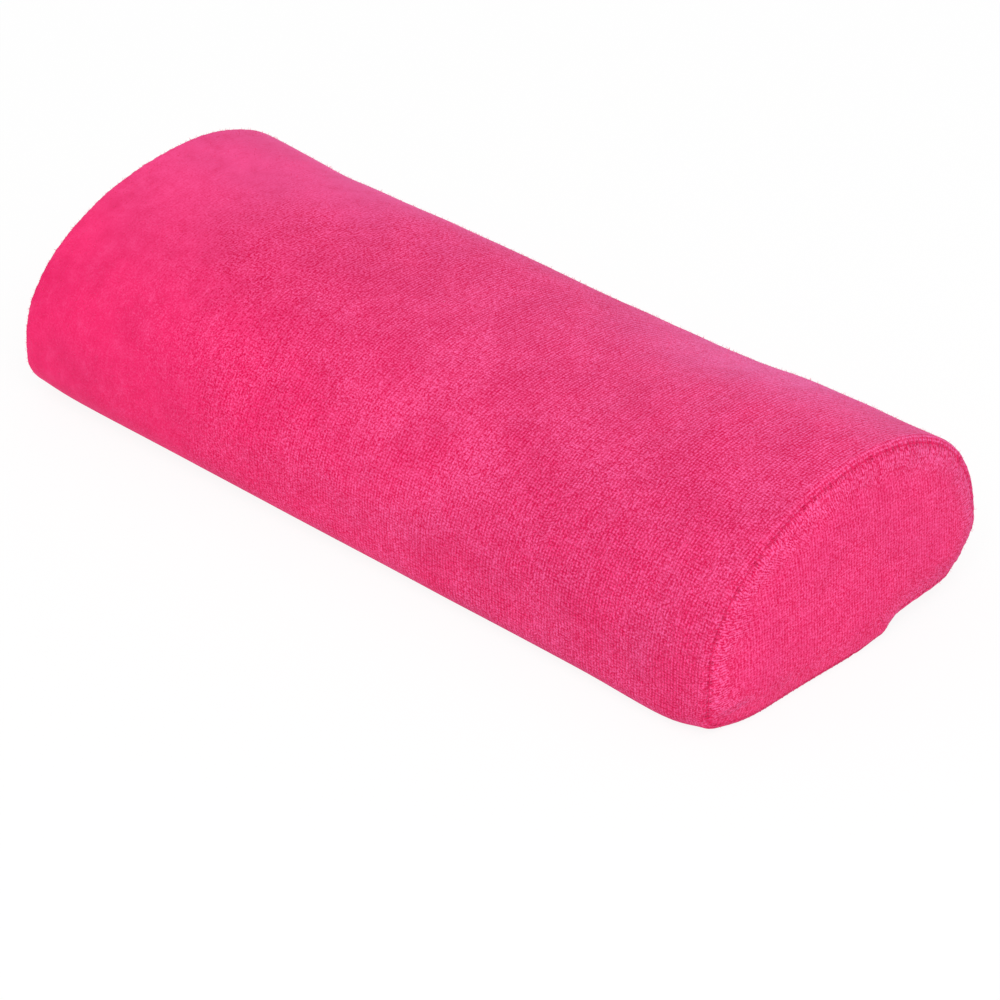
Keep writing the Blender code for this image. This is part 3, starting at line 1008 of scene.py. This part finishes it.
def make_fibre_material():
    """Loose fibres of the cover's yarn, of slightly different pinks."""
    graph = Graph("loose_fibres")
    share = graph.ramp(graph.noise(graph.place(), 0.002).outputs[0], 0.35, 0.65, 0.1, 0.75)
    graph.feed(graph.shader.inputs["Base Color"], graph.mix(share, PINK, PINK_TIP))
    finish_fabric(graph, roughness=0.9)
    return graph.material


def make_foam_material():
    """Open-cell foam."""
    graph = Graph("open_cell_foam")
    cells = graph.add("ShaderNodeTexVoronoi", {"Vector": graph.place(), "Scale": 900.0})
    pore = graph.ramp(cells.outputs["Distance"], 0.1, 0.6)
    graph.feed(graph.shader.inputs["Base Color"], graph.mix(pore, FOAM_PORE, FOAM_CREAM))
    graph.bump(pore, 0.6, 0.0004)
    graph.shader.inputs["Roughness"].default_value = 0.9
    return graph.material


# Surroundings

CAMERA_AZIMUTH = radians(44.87)
CAMERA_ELEVATION = radians(33.07)
CAMERA_ROLL = radians(-2.07)
CAMERA_DISTANCE = 1.89377
CAMERA_TARGET = Vector((0.0043, 0.0, -0.00477))
CAMERA_LENS = 216.0
WORLD_LIGHT = 0.725
WORLD_SEEN = 1.0
KEY_PLACE = (1.15, -1.0, 1.8)
KEY_SIZE = 1.4
KEY_WATTS = 27.0
LIT_POINT = (0, 0, 0.03)
FLOOR_REACH = 4
FLOOR_DROP = 0.0002         # keeps the floor clear of the base
FLOOR_GLOW = 0.90


def make_camera():
    """The camera at the photograph's viewing angle."""
    back = Vector((sin(CAMERA_AZIMUTH) * cos(CAMERA_ELEVATION), -cos(CAMERA_AZIMUTH) * cos(CAMERA_ELEVATION),
                   sin(CAMERA_ELEVATION)))
    level = Vector((cos(CAMERA_AZIMUTH), sin(CAMERA_AZIMUTH), 0.0))
    upright = back.cross(level)
    right = level * cos(CAMERA_ROLL) + upright * sin(CAMERA_ROLL)
    up = upright * cos(CAMERA_ROLL) - level * sin(CAMERA_ROLL)
    data = bpy.data.cameras.new("camera")
    data.lens = CAMERA_LENS
    data.sensor_width = 36.0
    data.clip_start = 0.05
    data.clip_end = 50.0
    camera = bpy.data.objects.new("camera", data)
    turn = Matrix((right, up, back)).transposed().to_4x4()
    camera.matrix_world = Matrix.Translation(CAMERA_TARGET + back * CAMERA_DISTANCE) @ turn
    bpy.context.scene.collection.objects.link(camera)
    bpy.context.scene.camera = camera


def make_area_light(name, place, size, watts):
    """A square soft light aimed at the cushion."""
    data = bpy.data.lights.new(name, "AREA")
    data.size = size
    data.energy = watts
    light = bpy.data.objects.new(name, data)
    light.location = place
    light.rotation_euler = (Vector(LIT_POINT) - Vector(place)).to_track_quat("-Z", "Y").to_euler()
    bpy.context.scene.collection.objects.link(light)


def seen_by_eye(nodes, links):
    """1 for rays that end in the picture: straight from the camera, mirrored or through glass."""
    path = nodes.new("ShaderNodeLightPath")
    most = path.outputs["Is Camera Ray"]
    for other in ("Is Glossy Ray", "Is Transmission Ray"):
        node = nodes.new("ShaderNodeMath")
        node.operation = "MAXIMUM"
        links.new(most, node.inputs[0])
        links.new(path.outputs[other], node.inputs[1])
        most = node.outputs[0]
    return most


def make_floor():
    """A plain white floor that keeps the cushion's shadow."""
    mesh = bpy.data.meshes.new("floor")
    far = FLOOR_REACH
    mesh.from_pydata([(-far, -far, 0), (far, -far, 0), (far, far, 0), (-far, far, 0)], [], [(0, 1, 2, 3)])
    floor = bpy.data.objects.new("floor", mesh)
    bpy.context.scene.collection.objects.link(floor)
    floor.location.z = CAD_LOW[2] - FLOOR_DROP
    graph = Graph("floor")
    graph.shader.inputs["Base Color"].default_value = FLOOR_WHITE
    graph.shader.inputs["Roughness"].default_value = 1.0
    graph.shader.inputs["Specular IOR Level"].default_value = 0.0
    glow = graph.add("ShaderNodeEmission", {"Color": (1, 1, 1, 1), "Strength": 1.0})
    share = graph.times(seen_by_eye(graph.nodes, graph.links), FLOOR_GLOW)
    mixed = graph.add("ShaderNodeMixShader", {"Fac": share})
    graph.links.new(graph.shader.outputs[0], mixed.inputs[1])
    graph.links.new(glow.outputs[0], mixed.inputs[2])
    graph.links.new(mixed.outputs[0], graph.nodes["Material Output"].inputs[0])
    mesh.materials.append(graph.material)


def make_world(light, seen):
    """Even soft light from all round, and white to the eye."""
    world = bpy.data.worlds.new("world")
    world.use_nodes = True
    bpy.context.scene.world = world
    nodes, links = world.node_tree.nodes, world.node_tree.links
    mix = nodes.new("ShaderNodeMix")
    mix.inputs[2].default_value = light
    mix.inputs[3].default_value = seen
    links.new(seen_by_eye(nodes, links), mix.inputs[0])
    links.new(mix.outputs[0], nodes["Background"].inputs["Strength"])
    nodes["Background"].inputs["Color"].default_value = (1, 1, 1, 1)


def dress(obj, material):
    """Give a piece its material and its slot, and let it ride with the cushion."""
    obj.data.materials.clear()
    obj.data.materials.append(material)
    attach(obj, "root")


def main():
    bpy.context.scene.view_settings.view_transform = "Standard"
    make_camera()
    make_floor()
    make_world(WORLD_LIGHT, WORLD_SEEN)
    make_area_light("key", KEY_PLACE, KEY_SIZE, KEY_WATTS)

    wrap_cloth = make_towelling("cover_towelling", with_seam=False)
    end_cloth = make_towelling("end_towelling", with_seam=True)
    thread = make_thread_material()

    stitches = {side: stitch_places(11 + side) for side in (-1, 1)}
    fibres = make_fibre_material()
    wrap, bands = make_wrap(stitches)
    fuzz = make_fuzz("fuzz_wrap", wrap, WRAP_FIBRES, 5)
    dress(fuzz, fibres)
    thicken(wrap)
    dress(wrap, wrap_cloth)
    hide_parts("wrap_panel")

    foam = make_foam()
    dress(foam, make_foam_material())
    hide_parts("foam_core")

    for side, title in ((1, "right"), (-1, "left")):
        end, band = make_end(f"cover_end_{title}", side, stitches[side])
        fuzz = make_fuzz(f"fuzz_{title}", end, END_FIBRES, 7 + side)
        dress(fuzz, fibres)
        thicken(end)
        dress(end, end_cloth)
        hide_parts(f"end_panel_{title}")
        seam = make_seam_thread(f"seam_thread_{title}", bands[side], band, stitches[side])
        dress(seam, thread)

    hem = make_hem_thread()
    dress(hem, thread)


main()
